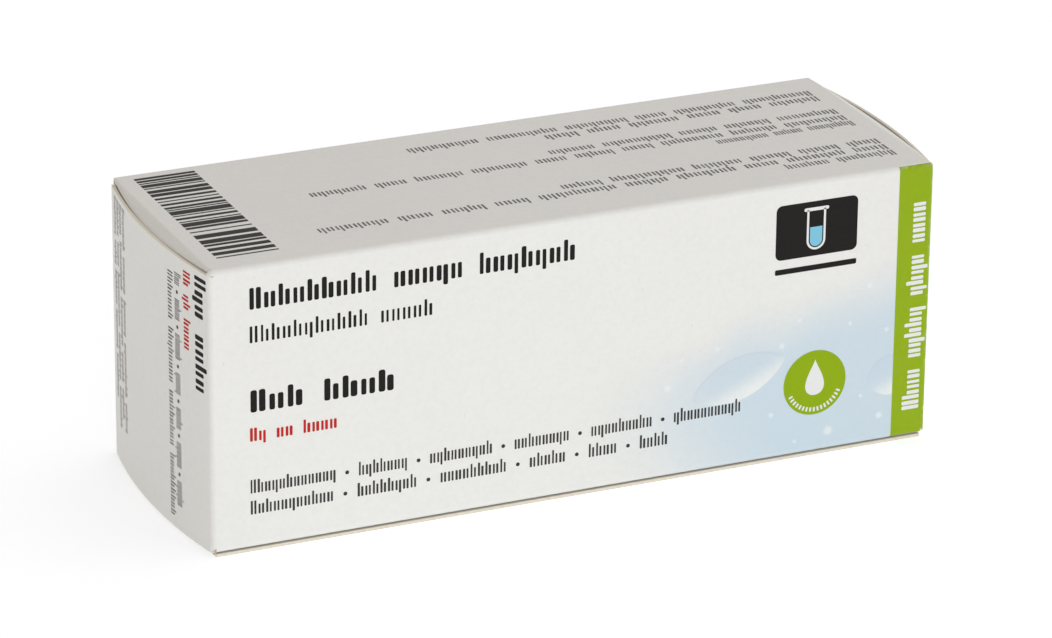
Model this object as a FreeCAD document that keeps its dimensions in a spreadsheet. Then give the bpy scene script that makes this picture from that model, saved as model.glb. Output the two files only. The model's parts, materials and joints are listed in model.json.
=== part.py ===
import FreeCAD, Part

# A folding carton of water test tablets: a glued sleeve of carton board whose two ends close with a
# hinged end panel, its tuck flap and two dust flaps, and ten foil strips of ten tablets inside.
# Millimetres. The origin is the bottom centre of the carton: +X along its length, +Y from the printed
# front to the back, +Z up.

import math
import os

import Sketcher

Vector = FreeCAD.Vector

STRIPS = 10
POCKETS_LONG = 5
POCKETS_CROSS = 2
BEYOND = 2.0          # how far a cutting solid reaches past what it cuts

SIZES = [
    # alias, value, what it is
    ("carton_length", 108.2, "outer length at the upright creases, without the bow of the ends"),
    ("carton_depth", 38.5, "outer depth, front face to back face"),
    ("carton_height", 41.5, "outer height"),
    ("board", 0.45, "thickness of the carton board"),
    ("fold_radius", 0.8, "outer radius of every fold"),
    ("seam_flap_width", 10.0, "width of the glued flap behind the front's lower fold"),
    ("seam_setback", 0.12, "how far the bottom panel's front edge stands behind the front face"),
    ("glue_thickness", 0.05, "thickness of the glue line"),
    ("glue_width", 7.0, "width of the glue line"),
    ("glue_margin", 4.0, "bare board at each end of the glue line"),
    ("end_bow", 1.7, "how far the end panels bulge past their upright edges"),
    ("end_trim", 0.7, "how much the end panels are cut short at the top and at the bottom"),
    ("tuck_length", 9.0, "length of the tuck flap past its fold"),
    ("tuck_lean", 11.0, "degrees by which the tuck flap leans away from the back panel"),
    ("tuck_trim", 1.6, "how much the tuck flap is cut short at the top and at the bottom"),
    ("tuck_corner", 3.5, "radius of the tuck flap's free corners"),
    ("tuck_clearance", 0.25, "gap between the tuck flap's fold and the back panel"),
    ("dust_height", 17.0, "height of a dust flap"),
    ("dust_clearance", 0.15, "gap between a dust flap and the end panel in front of it"),
    ("dust_slope", 25.0, "degrees by which the first stretch of a dust flap falls from its crease"),
    ("dust_side_inset", 0.95, "how far a dust flap's crease stops short of the carton's faces"),
    ("dust_neck", 0.9, "height of a dust flap that keeps the full width of its crease"),
    ("dust_taper", 24.0, "degrees by which the edge beside the end panel's hinge is cut back"),
    ("dust_back_margin", 3.3, "room beside a dust flap for the tuck flap"),
    ("dust_corner", 2.0, "radius of a dust flap's free corners"),
    ("strip_end_room", 3.5, "room between the end of a strip and the end of the carton"),
    ("strip_front_gap", 0.4, "gap between the strips and the front panel"),
    ("strip_back_gap", 0.28, "gap between the strips and the tip of the tuck flap"),
    ("strip_floor_gap", 0.2, "gap between the lowest strip and the seam flap"),
    ("strip_gap", 0.34, "gap between stacked strips"),
    ("stack_headroom", 1.24, "room between the highest strip and the top panel"),
    ("strip_corner", 2.5, "radius of a strip's corners"),
    ("foil", 0.12, "thickness of one foil"),
    ("end_seal", 5.45, "sealed rim beyond the last pockets of a strip"),
    ("side_seal", 3.0, "sealed rim along a strip's long edges"),
    ("middle_seal", 5.5, "sealed foil between the two rows of pockets"),
    ("pocket_draft", 25.0, "degrees of slope of a pocket's wall"),
    ("tablet_side_gap", 0.15, "room round a tablet in its pocket"),
    ("tablet_face_gap", 0.06, "room over each face of a tablet"),
    ("tablet_bevel", 0.45, "bevel round both faces of a tablet"),
]

LENGTHS = [
    # name, formula, what it is
    ("half_length", "Sizes.carton_length / 2", "from the middle to an end"),
    ("half_depth", "Sizes.carton_depth / 2", "from the middle to the front or the back face"),
    ("inner_radius", "Sizes.fold_radius - Sizes.board", "inside radius of a fold"),
    ("seam_level", "Sizes.board + Sizes.glue_thickness", "underside of the glued flap"),
    ("fold_x", "Sizes.fold_radius - Layout.half_length", "axis of the left end's upright folds"),
    ("hinge_fold_y", "Sizes.fold_radius - Layout.half_depth", "fold between front and end panel"),
    ("tuck_fold_y",
     "Layout.half_depth - Sizes.board - Sizes.tuck_clearance - Sizes.fold_radius",
     "fold between end panel and tuck flap"),
    ("bow_middle_y", "(Layout.hinge_fold_y + Layout.tuck_fold_y) / 2", "middle of the bow"),
    ("bow_half_chord", "(Layout.tuck_fold_y - Layout.hinge_fold_y) / 2", "half the bowed stretch"),
    ("bow_radius",
     "Sizes.fold_radius + Layout.bow_half_chord / sin(Layout.bow_angle)",
     "radius of an end panel's outer face"),
    ("bow_centre_x",
     "Layout.fold_x + (Layout.bow_radius - Sizes.fold_radius) * cos(Layout.bow_angle)",
     "axis of the left end panel's bow"),
    ("dust_radius", "Layout.bow_radius - Sizes.board - Sizes.dust_clearance",
     "radius of a dust flap's outer face"),
    ("tuck_tip_y",
     "Layout.tuck_fold_y + Layout.inner_radius * cos(Layout.lean_angle) "
     "- Sizes.tuck_length * sin(Layout.lean_angle)",
     "inner corner of the tuck flap's free edge"),
    ("strip_front_y", "Sizes.board + Sizes.strip_front_gap - Layout.half_depth",
     "front edge of the strips"),
    ("strip_back_y", "Layout.tuck_tip_y - Sizes.strip_back_gap", "back edge of the strips"),
    ("strip_y", "(Layout.strip_front_y + Layout.strip_back_y) / 2", "middle of the strips"),
    ("strip_width", "Layout.strip_back_y - Layout.strip_front_y", "width of a strip"),
    ("strip_length", "Sizes.carton_length - 2 * Sizes.strip_end_room", "length of a strip"),
    ("stack_bottom", "Layout.seam_level + Sizes.board + Sizes.strip_floor_gap",
     "lowest point of the strips"),
    ("stack_top", "Sizes.carton_height - Sizes.board - Sizes.stack_headroom",
     "highest point of the strips"),
    ("strip_pitch",
     f"(Layout.stack_top - Layout.stack_bottom + Sizes.strip_gap) / {STRIPS}",
     "height from strip to strip"),
    ("half_strip", "(Layout.strip_pitch - Sizes.strip_gap) / 2", "half a filled strip's thickness"),
    ("first_strip_z", "Layout.stack_bottom + Layout.half_strip", "seal of the lowest strip"),
    ("pocket_height", "Layout.half_strip - Sizes.foil", "inside height of half a pocket"),
    ("pocket_outside",
     "(Layout.strip_width - 2 * Sizes.side_seal - Sizes.middle_seal) / 4",
     "outside radius of a pocket where it leaves the rim"),
    ("pocket_inside", "Layout.pocket_outside - Sizes.foil / cos(Layout.draft_angle)",
     "inside radius of a pocket there"),
    ("pitch_cross", "2 * Layout.pocket_outside + Sizes.middle_seal", "from row to row"),
    ("pitch_long",
     "(Layout.strip_length - 2 * (Sizes.end_seal + Layout.pocket_outside))"
     f" / {POCKETS_LONG - 1}",
     "from tablet to tablet along a strip"),
    ("tablet_thickness", "2 * (Layout.pocket_height - Sizes.tablet_face_gap)",
     "thickness of a tablet"),
    ("tablet_radius",
     "Layout.pocket_inside - Layout.pocket_height * tan(Layout.draft_angle) "
     "- Sizes.tablet_side_gap",
     "radius of a tablet"),
]

ANGLES = [
    ("draft_angle", "Sizes.pocket_draft * 1 deg", "slope of a pocket's wall"),
    ("lean_angle", "Sizes.tuck_lean * 1 deg", "lean of a tuck flap"),
    ("bow_angle", "2 * atan(Sizes.end_bow / Layout.bow_half_chord)", "lean of a bow at its edges"),
]

doc = FreeCAD.newDocument("water_test_kit")


# ---------------------------------------------------------------- sizes

def make_sizes():
    """The driving sizes, one row each: the value under its alias, then what it is."""
    sheet = doc.addObject("Spreadsheet::Sheet", "Sizes")
    for row, (alias, value, meaning) in enumerate(SIZES, start=1):
        sheet.set(f"A{row}", str(value))
        sheet.setAlias(f"A{row}", alias)
        sheet.set(f"B{row}", meaning)
    doc.recompute()
    return sheet


def make_layout():
    """Radii, centres and levels that follow from the driving sizes."""
    layout = doc.addObject("App::VarSet", "Layout")
    for kind, rows in (("App::PropertyAngle", ANGLES), ("App::PropertyFloat", LENGTHS)):
        for name, _, meaning in rows:
            layout.addProperty(kind, name, "Layout", meaning)
    for name, formula, _ in ANGLES + LENGTHS:
        layout.setExpression(name, formula)
    doc.recompute()
    return layout


# ---------------------------------------------------------------- drawing helpers

def value_of(item, expression):
    """The present value of an expression, as a plain number."""
    result = item.evalExpression(expression)
    return float(getattr(result, "Value", result))


def bind(sketch, constraint_type, targets, expression):
    """Add a dimension to a sketch and tie it to an expression."""
    value = value_of(sketch, expression)
    index = sketch.addConstraint(Sketcher.Constraint(constraint_type, *targets, value))
    sketch.setExpression(f"Constraints[{index}]", expression)


def new_sketch(name, role, body=None):
    """A sketch on an origin plane of its body, or a free one in the same plane."""
    turns = {
        "XY_Plane": FreeCAD.Rotation(),
        "XZ_Plane": FreeCAD.Rotation(Vector(1, 0, 0), 90),
        "YZ_Plane": FreeCAD.Rotation(Vector(1, 1, 1), 120),
    }
    if body is None:
        sketch = doc.addObject("Sketcher::SketchObject", name)
        sketch.Placement = FreeCAD.Placement(Vector(), turns[role])
        return sketch
    sketch = body.newObject("Sketcher::SketchObject", name)
    plane = [feature for feature in body.Origin.OriginFeatures if feature.Role == role][0]
    sketch.AttachmentSupport = [(plane, "")]
    sketch.MapMode = "FlatFace"
    return sketch


def around(centre, radius, angle):
    """The point of a circle at an angle, as a pair of expressions."""
    return f"{centre[0]} + ({radius}) * cos({angle})", f"{centre[1]} + ({radius}) * sin({angle})"


def draw(sketch, corners):
    """Close an outline of lines and arcs. Each corner is (point, arc), where the arc that leaves it
    is None for a line, or (centre, radius, turn) with turn "ccw" or "cw"."""
    points = [Vector(value_of(sketch, x), value_of(sketch, y), 0) for (x, y), arc in corners]
    edges = []
    for index, (corner, arc) in enumerate(corners):
        start, end = points[index], points[(index + 1) % len(points)]
        if arc is None:
            edges.append((sketch.addGeometry(Part.LineSegment(start, end), False), 1, 2))
            continue
        centre_at, radius, turn = arc
        centre = Vector(value_of(sketch, centre_at[0]), value_of(sketch, centre_at[1]), 0)
        first, last = (start, end) if turn == "ccw" else (end, start)
        begin = math.atan2(first.y - centre.y, first.x - centre.x)
        finish = math.atan2(last.y - centre.y, last.x - centre.x)
        if finish < begin:
            finish += 2 * math.pi
        circle = Part.Circle(centre, Vector(0, 0, 1), value_of(sketch, radius))
        edge = sketch.addGeometry(Part.ArcOfCircle(circle, begin, finish), False)
        edges.append((edge, 1, 2) if turn == "ccw" else (edge, 2, 1))
    for index, (edge, start_id, end_id) in enumerate(edges):
        following, next_id, _ = edges[(index + 1) % len(edges)]
        sketch.addConstraint(Sketcher.Constraint("Coincident", edge, end_id, following, next_id))
    for (edge, start_id, _), ((x, y), arc) in zip(edges, corners):
        bind(sketch, "DistanceX", (-1, 1, edge, start_id), x)
        bind(sketch, "DistanceY", (-1, 1, edge, start_id), y)
        if arc is not None:
            bind(sketch, "Radius", (edge,), arc[1])


def rounded_box_corners(left, right, low, high, radius):
    """Corners of a rectangle with all four corners rounded, anticlockwise."""
    return [
        ((f"{left} + {radius}", low), None),
        ((f"{right} - {radius}", low),
         ((f"{right} - {radius}", f"{low} + {radius}"), radius, "ccw")),
        ((right, f"{low} + {radius}"), None),
        ((right, f"{high} - {radius}"),
         ((f"{right} - {radius}", f"{high} - {radius}"), radius, "ccw")),
        ((f"{right} - {radius}", high), None),
        ((f"{left} + {radius}", high),
         ((f"{left} + {radius}", f"{high} - {radius}"), radius, "ccw")),
        ((left, f"{high} - {radius}"), None),
        ((left, f"{low} + {radius}"),
         ((f"{left} + {radius}", f"{low} + {radius}"), radius, "ccw")),
    ]


def pad(body, sketch, length, symmetric=False):
    feature = body.newObject("PartDesign::Pad", f"{sketch.Name}_pad")
    feature.Profile = sketch
    feature.setExpression("Length", length)
    if symmetric:
        feature.SideType = "Symmetric"
    return feature


def new_body(label):
    body = doc.addObject("PartDesign::Body", label)
    body.Label = label
    return body


def extrude(sketch, length):
    """A solid from a free sketch, half of it on each side of the sketch's plane."""
    solid = doc.addObject("Part::Extrusion", f"{sketch.Name}_solid")
    solid.Base = sketch
    solid.DirMode = "Normal"
    solid.setExpression("LengthFwd", length)
    solid.Solid = True
    solid.Symmetric = True
    return solid


def boolean(kind, name, base, tool):
    result = doc.addObject(f"Part::{kind}", name)
    result.Base = base
    result.Tool = tool
    return result


def mirror(label, source, normal, base=None):
    """A copy of a piece on the other side of a plane."""
    copy = doc.addObject("Part::Mirroring", label)
    copy.Label = label
    copy.Source = source
    copy.Normal = normal
    if base is not None:
        copy.setExpression(*base)
    return copy


# ---------------------------------------------------------------- carton

FRONT = "-Layout.half_depth"
BACK = "Layout.half_depth"
TOP = "Sizes.carton_height"
BOARD = "Sizes.board"
FOLD = "Sizes.fold_radius"
INSIDE = "Layout.inner_radius"
SEAM = "Layout.seam_level"
HINGE_FOLD = ("Layout.fold_x", "Layout.hinge_fold_y")
TUCK_FOLD = ("Layout.fold_x", "Layout.tuck_fold_y")
BOW_CENTRE = ("Layout.bow_centre_x", "Layout.bow_middle_y")
HINGE_MITRE = "225 deg"      # where the hinge fold's arc divides between its two panels
TUCK_MITRE = "135 deg"
BOW_START = "180 deg + Layout.bow_angle"
BOW_END = "180 deg - Layout.bow_angle"


def make_sleeve():
    """One board folded round the contents: seam flap, front, top, back and bottom. Its panels are cut
    square where the upright folds begin."""
    body = new_body("carton_sleeve")

    section = new_sketch("Sleeve_section", "YZ_Plane", body)
    front_fold, back_fold = f"{FRONT} + {FOLD}", f"{BACK} - {FOLD}"
    top_fold = f"{TOP} - {FOLD}"
    seam_fold = f"{SEAM} + {FOLD}"
    bottom_edge = f"{FRONT} + Sizes.seam_setback"
    seam_edge = f"{FRONT} + Sizes.seam_flap_width"
    draw(section, [
        ((bottom_edge, "0"), None),
        ((back_fold, "0"), ((back_fold, FOLD), FOLD, "ccw")),
        ((BACK, FOLD), None),
        ((BACK, top_fold), ((back_fold, top_fold), FOLD, "ccw")),
        ((back_fold, TOP), None),
        ((front_fold, TOP), ((front_fold, top_fold), FOLD, "ccw")),
        ((FRONT, top_fold), None),
        ((FRONT, seam_fold), ((front_fold, seam_fold), FOLD, "ccw")),
        ((front_fold, SEAM), None),
        ((seam_edge, SEAM), None),
        ((seam_edge, f"{SEAM} + {BOARD}"), None),
        ((front_fold, f"{SEAM} + {BOARD}"), ((front_fold, seam_fold), INSIDE, "cw")),
        ((f"{FRONT} + {BOARD}", seam_fold), None),
        ((f"{FRONT} + {BOARD}", top_fold), ((front_fold, top_fold), INSIDE, "cw")),
        ((front_fold, f"{TOP} - {BOARD}"), None),
        ((back_fold, f"{TOP} - {BOARD}"), ((back_fold, top_fold), INSIDE, "cw")),
        ((f"{BACK} - {BOARD}", top_fold), None),
        ((f"{BACK} - {BOARD}", FOLD), ((back_fold, FOLD), INSIDE, "cw")),
        ((back_fold, BOARD), None),
        ((bottom_edge, BOARD), None),
    ])
    pad(body, section, "Sizes.carton_length - 2 * Sizes.fold_radius", symmetric=True)

    # The front panel runs on into its half of the upright fold at each end.
    halves = new_sketch("Front_fold_halves", "XY_Plane", body)
    halves.setExpression("AttachmentOffset.Base.z", seam_fold)
    for side, turn, back_turn in ((1, "cw", "ccw"), (-1, "ccw", "cw")):
        centre = (f"{side} * ({HINGE_FOLD[0]})", HINGE_FOLD[1])
        mitre = f"270 deg - {side} * (270 deg - {HINGE_MITRE})"
        draw(halves, [
            (around(centre, FOLD, "270 deg"), (centre, FOLD, turn)),
            (around(centre, FOLD, mitre), None),
            (around(centre, INSIDE, mitre), (centre, INSIDE, back_turn)),
            (around(centre, INSIDE, "270 deg"), None),
        ])
    pad(body, halves, f"{TOP} - {FOLD} - ({seam_fold})")
    return body


def make_glue():
    """The line of glue that holds the seam flap on the bottom panel."""
    glue = doc.addObject("Part::Box", "seam_glue_line")
    glue.Label = "seam_glue_line"
    glue.setExpression("Length", "Sizes.carton_length - 2 * Sizes.fold_radius - 2 * Sizes.glue_margin")
    glue.setExpression("Width", "Sizes.glue_width")
    glue.setExpression("Height", "Sizes.glue_thickness")
    glue.setExpression("Placement.Base.x",
                       "Sizes.fold_radius + Sizes.glue_margin - Layout.half_length")
    glue.setExpression("Placement.Base.y", "(Sizes.fold_radius + Sizes.seam_flap_width - "
                       "Sizes.glue_width) / 2 - Layout.half_depth")
    glue.setExpression("Placement.Base.z", "Sizes.board")
    return glue


def make_end_panel():
    """Left end panel: half of the hinge fold, the bow, half of the tuck flap's fold."""
    body = new_body("left_end_panel")
    plan = new_sketch("End_panel_plan", "XY_Plane", body)
    plan.setExpression("AttachmentOffset.Base.z", "Sizes.end_trim")
    outer_bow, inner_bow = "Layout.bow_radius", "Layout.bow_radius - Sizes.board"
    draw(plan, [
        (around(HINGE_FOLD, FOLD, HINGE_MITRE), (HINGE_FOLD, FOLD, "cw")),
        (around(HINGE_FOLD, FOLD, BOW_START), (BOW_CENTRE, outer_bow, "cw")),
        (around(TUCK_FOLD, FOLD, BOW_END), (TUCK_FOLD, FOLD, "cw")),
        (around(TUCK_FOLD, FOLD, TUCK_MITRE), None),
        (around(TUCK_FOLD, INSIDE, TUCK_MITRE), (TUCK_FOLD, INSIDE, "ccw")),
        (around(TUCK_FOLD, INSIDE, BOW_END), (BOW_CENTRE, inner_bow, "ccw")),
        (around(HINGE_FOLD, INSIDE, BOW_START), (HINGE_FOLD, INSIDE, "ccw")),
        (around(HINGE_FOLD, INSIDE, HINGE_MITRE), None),
    ])
    pad(body, plan, "Sizes.carton_height - 2 * Sizes.end_trim")
    return body


def make_tuck_flap():
    """Left tuck flap: the other half of the fold and a flat tongue with rounded corners."""
    body = new_body("left_tuck_flap")
    plan = new_sketch("Tuck_flap_plan", "XY_Plane", body)
    plan.setExpression("AttachmentOffset.Base.z", "Sizes.tuck_trim")
    flat = "90 deg - Layout.lean_angle"
    ahead = ("Sizes.tuck_length * cos(Layout.lean_angle)",
             "Sizes.tuck_length * sin(Layout.lean_angle)")
    outer, inner = around(TUCK_FOLD, FOLD, flat), around(TUCK_FOLD, INSIDE, flat)
    draw(plan, [
        (around(TUCK_FOLD, FOLD, TUCK_MITRE), (TUCK_FOLD, FOLD, "cw")),
        (outer, None),
        ((f"{outer[0]} + {ahead[0]}", f"{outer[1]} - {ahead[1]}"), None),
        ((f"{inner[0]} + {ahead[0]}", f"{inner[1]} - {ahead[1]}"), None),
        (inner, (TUCK_FOLD, INSIDE, "ccw")),
        (around(TUCK_FOLD, INSIDE, TUCK_MITRE), None),
    ])
    tongue = pad(body, plan, "Sizes.carton_height - 2 * Sizes.tuck_trim")
    doc.recompute()

    board = value_of(body, BOARD)
    free_end = tongue.Shape.BoundBox.XMax - board
    corners = [
        f"Edge{number}" for number, edge in enumerate(tongue.Shape.Edges, start=1)
        if abs(edge.Length - board) < board / 100 and edge.BoundBox.XMin > free_end
        and edge.BoundBox.ZLength < board / 100
    ]
    rounding = body.newObject("PartDesign::Fillet", "Tuck_flap_corners")
    rounding.Base = (tongue, corners)
    rounding.setExpression("Radius", "Sizes.tuck_corner")
    return body


def make_dust_flap():
    """Left top dust flap. From its crease it falls towards the end panel, then follows the bow down:
    a shell between two such roofs, one board apart, trimmed to the flap's outline."""
    crease_x = "Layout.fold_x"
    lower = "Sizes.carton_height - Sizes.dust_height"
    fall = "tan(Sizes.dust_slope * 1 deg)"
    reach = f"({BEYOND} + Sizes.end_bow)"
    drop = "Sizes.board / cos(Sizes.dust_slope * 1 deg)"

    def roofed(name, past_crease, level, radius, floor):
        """What lies under a roof and inside the bow."""
        side = new_sketch(f"{name}_side", "XZ_Plane")
        draw(side, [
            ((f"{crease_x} + {past_crease}", floor), None),
            ((f"{crease_x} + {past_crease}", f"{level} + {past_crease} * {fall}"), None),
            ((f"{crease_x} - {reach}", f"{level} - {reach} * {fall}"), None),
            ((f"{crease_x} - {reach}", floor), None),
        ])
        bow = doc.addObject("Part::Cylinder", f"{name}_bow")
        bow.setExpression("Radius", radius)
        bow.setExpression("Height", "Sizes.carton_height + Sizes.end_bow")
        bow.setExpression("Placement.Base.x", BOW_CENTRE[0])
        bow.setExpression("Placement.Base.y", BOW_CENTRE[1])
        return boolean("Common", name, extrude(side, "Sizes.carton_depth"), bow)

    outside = roofed("Dust_flap_outside", "0", TOP, "Layout.dust_radius", lower)
    inside = roofed("Dust_flap_inside", f"{BEYOND}", f"({TOP} - {drop})",
                    "Layout.dust_radius - Sizes.board", f"{lower} - {BEYOND}")
    shell = boolean("Cut", "Dust_flap_shell", outside, inside)

    # Outline seen along X: wide neck at the crease, a slanted edge beside the end panel's hinge,
    # a straight edge beside the tuck flap, rounded free corners.
    near, far = f"{FRONT} + Sizes.dust_side_inset", f"{BACK} - Sizes.dust_side_inset"
    straight = f"{BACK} - Sizes.dust_back_margin"
    neck = f"{TOP} - Sizes.dust_neck"
    slant = "Sizes.dust_taper * 1 deg"
    tip = f"({near} + (Sizes.dust_height - Sizes.dust_neck) * tan({slant}))"
    round_by = "Sizes.dust_corner"
    slant_cut = f"{round_by} * tan(45 deg - {slant} / 2)"
    slant_centre = (f"{tip} + {round_by} * tan(45 deg + {slant} / 2)", f"{lower} + {round_by}")
    straight_centre = (f"{straight} - {round_by}", f"{lower} + {round_by}")
    outline = new_sketch("Dust_flap_outline", "YZ_Plane")
    draw(outline, [
        ((near, f"{TOP} + {BEYOND}"), None),
        ((near, neck), None),
        (around(slant_centre, round_by, f"180 deg + {slant}"), (slant_centre, round_by, "ccw")),
        ((slant_centre[0], lower), None),
        ((straight_centre[0], lower), (straight_centre, round_by, "ccw")),
        ((straight, straight_centre[1]), None),
        ((straight, f"{neck} - Sizes.dust_back_margin + Sizes.dust_side_inset"), None),
        ((far, neck), None),
        ((far, f"{TOP} + {BEYOND}"), None),
    ])
    flap = boolean("Common", "left_top_dust_flap", shell,
                   extrude(outline, f"2 * (Sizes.carton_length + {BEYOND})"))
    flap.Label = "left_top_dust_flap"
    return flap


def make_carton():
    """The sleeve and both ends; the right end mirrors the left one."""
    pieces = [make_sleeve(), make_glue()]
    end_panel, tuck_flap, top_flap = make_end_panel(), make_tuck_flap(), make_dust_flap()
    bottom_flap = mirror("left_bottom_dust_flap", top_flap, Vector(0, 0, 1),
                         ("Base.z", "Sizes.carton_height / 2"))
    left = [end_panel, tuck_flap, top_flap, bottom_flap]
    right = [
        mirror(piece.Label.replace("left_", "right_"), piece, Vector(1, 0, 0)) for piece in left
    ]
    return pieces + left + right


# ---------------------------------------------------------------- tablet strips

def pocket_places():
    """Centres of a strip's pockets, as pairs of expressions."""
    for row in range(POCKETS_CROSS):
        for column in range(POCKETS_LONG):
            yield (f"Layout.pitch_long * {column - (POCKETS_LONG - 1) / 2}",
                   f"Layout.pitch_cross * {row - (POCKETS_CROSS - 1) / 2}")


def draw_circles(sketch, radius):
    """One circle at each pocket."""
    for x, y in pocket_places():
        centre = Vector(value_of(sketch, x), value_of(sketch, y), 0)
        circle = Part.Circle(centre, Vector(0, 0, 1), value_of(sketch, radius))
        index = sketch.addGeometry(circle, False)
        bind(sketch, "Radius", (index,), radius)
        bind(sketch, "DistanceX", (-1, 1, index, 3), x)
        bind(sketch, "DistanceY", (-1, 1, index, 3), y)


def make_foil():
    """One upper foil on its seal plane: a flat rim and ten tapered half pockets."""
    body = new_body("Foil_pattern")
    rim = new_sketch("Foil_rim", "XY_Plane", body)
    draw(rim, rounded_box_corners("-Layout.strip_length / 2", "Layout.strip_length / 2",
                                  "-Layout.strip_width / 2", "Layout.strip_width / 2",
                                  "Sizes.strip_corner"))
    pad(body, rim, "Sizes.foil")

    bulges = new_sketch("Pocket_outsides", "XY_Plane", body)
    draw_circles(bulges, "Layout.pocket_outside")
    raised = pad(body, bulges, "Layout.half_strip")
    raised.setExpression("TaperAngle", "-Layout.draft_angle")
    doc.recompute()

    hollows = new_sketch("Pocket_insides", "XY_Plane", body)
    draw_circles(hollows, "Layout.pocket_inside")
    hollow = body.newObject("PartDesign::Pocket", "Pocket_hollows")
    hollow.Profile = hollows
    hollow.setExpression("Length", "Layout.pocket_height")
    hollow.setExpression("TaperAngle", "-Layout.draft_angle")
    hollow.Reversed = True
    doc.recompute()
    if hollow.Shape.Volume >= raised.Shape.Volume:
        raise ValueError("the pockets of the foil are not hollow")
    return body


def make_tablets():
    """Ten bevelled tablets, centred on the seal plane."""
    blank = doc.addObject("Part::Cylinder", "Tablet_blank")
    blank.setExpression("Radius", "Layout.tablet_radius")
    blank.setExpression("Height", "Layout.tablet_thickness")
    doc.recompute()
    bevelled = doc.addObject("Part::Chamfer", "Tablet_bevelled")
    bevelled.Base = blank
    rims = [number for number, edge in enumerate(blank.Shape.Edges, start=1)
            if edge.BoundBox.ZLength < 1e-6]
    bevel = value_of(blank, "Sizes.tablet_bevel")
    bevelled.Edges = [(number, bevel, bevel) for number in rims]
    tablets = []
    for number, (x, y) in enumerate(pocket_places(), start=1):
        tablet = doc.addObject("Part::Compound", f"Tablet_{number:02d}")
        tablet.Links = [bevelled]
        tablet.setExpression("Placement.Base.x", x)
        tablet.setExpression("Placement.Base.y", y)
        tablet.setExpression("Placement.Base.z", "-Layout.tablet_thickness / 2")
        tablets.append(tablet)
    group = doc.addObject("Part::Compound", "Tablet_pattern")
    group.Links = tablets
    return group


def place_in_stack(label, source, level):
    """A copy of a strip's piece at its own level of the stack."""
    piece = doc.addObject("Part::Compound", label)
    piece.Label = label
    piece.Links = [source]
    piece.setExpression("Placement.Base.y", "Layout.strip_y")
    piece.setExpression("Placement.Base.z", f"Layout.first_strip_z + {level} * Layout.strip_pitch")
    return piece


def make_strips():
    """Ten strips lying flat on one another, each an upper foil, a lower foil and its tablets."""
    upper_foil = make_foil()
    lower_foil = mirror("Lower_foil_pattern", upper_foil, Vector(0, 0, 1))
    tablets = make_tablets()
    pieces = []
    for level in range(STRIPS):
        name = f"strip_{level + 1:02d}"
        pieces.append(place_in_stack(f"{name}_upper_foil", upper_foil, level))
        pieces.append(place_in_stack(f"{name}_lower_foil", lower_foil, level))
        pieces.append(place_in_stack(f"{name}_tablets", tablets, level))
    return pieces


# ---------------------------------------------------------------- check and write

def write(pieces):
    """Refuse a failed object, then write one STEP file for each piece."""
    for item in doc.Objects:
        if "Invalid" in item.State or "Error" in item.State:
            raise ValueError(f"{item.Label} failed: {item.State}")
    for piece in pieces:
        if piece.Shape.isNull() or not piece.Shape.isValid():
            raise ValueError(f"{piece.Label} has no valid shape")
    os.makedirs("parts", exist_ok=True)
    for piece in pieces:
        piece.Shape.exportStep(f"parts/{piece.Label}.step")
        box = piece.Shape.BoundBox
        print(f"{piece.Label}: {len(piece.Shape.Solids)} solid(s), {piece.Shape.Volume:.1f} mm3, "
              f"x {box.XMin:.2f}..{box.XMax:.2f}, y {box.YMin:.2f}..{box.YMax:.2f}, "
              f"z {box.ZMin:.2f}..{box.ZMax:.2f}")


make_sizes()
make_layout()
all_pieces = make_carton() + make_strips()
doc.recompute()
write(all_pieces)
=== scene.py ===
import json
import math
import random

import bmesh
import bpy
from mathutils import Matrix, Vector


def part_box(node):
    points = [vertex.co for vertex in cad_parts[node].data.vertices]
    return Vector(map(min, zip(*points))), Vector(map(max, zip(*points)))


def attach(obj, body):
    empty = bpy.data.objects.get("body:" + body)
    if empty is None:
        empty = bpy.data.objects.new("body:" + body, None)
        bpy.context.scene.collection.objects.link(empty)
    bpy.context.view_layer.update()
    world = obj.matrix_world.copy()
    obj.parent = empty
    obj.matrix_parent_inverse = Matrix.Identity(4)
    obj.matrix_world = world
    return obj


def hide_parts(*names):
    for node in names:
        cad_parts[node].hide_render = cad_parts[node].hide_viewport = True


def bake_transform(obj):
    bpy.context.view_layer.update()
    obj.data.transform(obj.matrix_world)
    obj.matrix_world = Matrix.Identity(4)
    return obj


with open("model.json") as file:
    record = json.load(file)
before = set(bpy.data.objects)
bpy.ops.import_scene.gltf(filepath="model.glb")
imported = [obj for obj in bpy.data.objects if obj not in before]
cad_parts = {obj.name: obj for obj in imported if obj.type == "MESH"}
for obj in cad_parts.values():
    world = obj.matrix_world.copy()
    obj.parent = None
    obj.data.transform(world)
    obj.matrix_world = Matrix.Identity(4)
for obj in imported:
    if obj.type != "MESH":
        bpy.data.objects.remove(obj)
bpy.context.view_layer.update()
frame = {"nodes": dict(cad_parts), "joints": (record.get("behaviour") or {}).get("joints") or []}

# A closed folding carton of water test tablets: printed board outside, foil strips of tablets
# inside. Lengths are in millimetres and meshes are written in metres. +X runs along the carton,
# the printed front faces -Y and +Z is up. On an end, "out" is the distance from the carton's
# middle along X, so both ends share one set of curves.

MM = 0.001
LEFT, RIGHT = -1, 1
SIDES = {"left": LEFT, "right": RIGHT}


def corners(node):
    """Lowest and highest corner of a CAD node, in millimetres."""
    low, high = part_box(node)
    return low / MM, high / MM


# ---------------------------------------------------------------- sizes

sleeve_high = corners("carton_sleeve")[1]
end_low, end_high = corners("left_end_panel")
tuck_low = corners("left_tuck_flap")[0]
dust_low, dust_high = corners("left_top_dust_flap")
joints = {joint["name"]: joint for joint in frame["joints"]}

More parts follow.
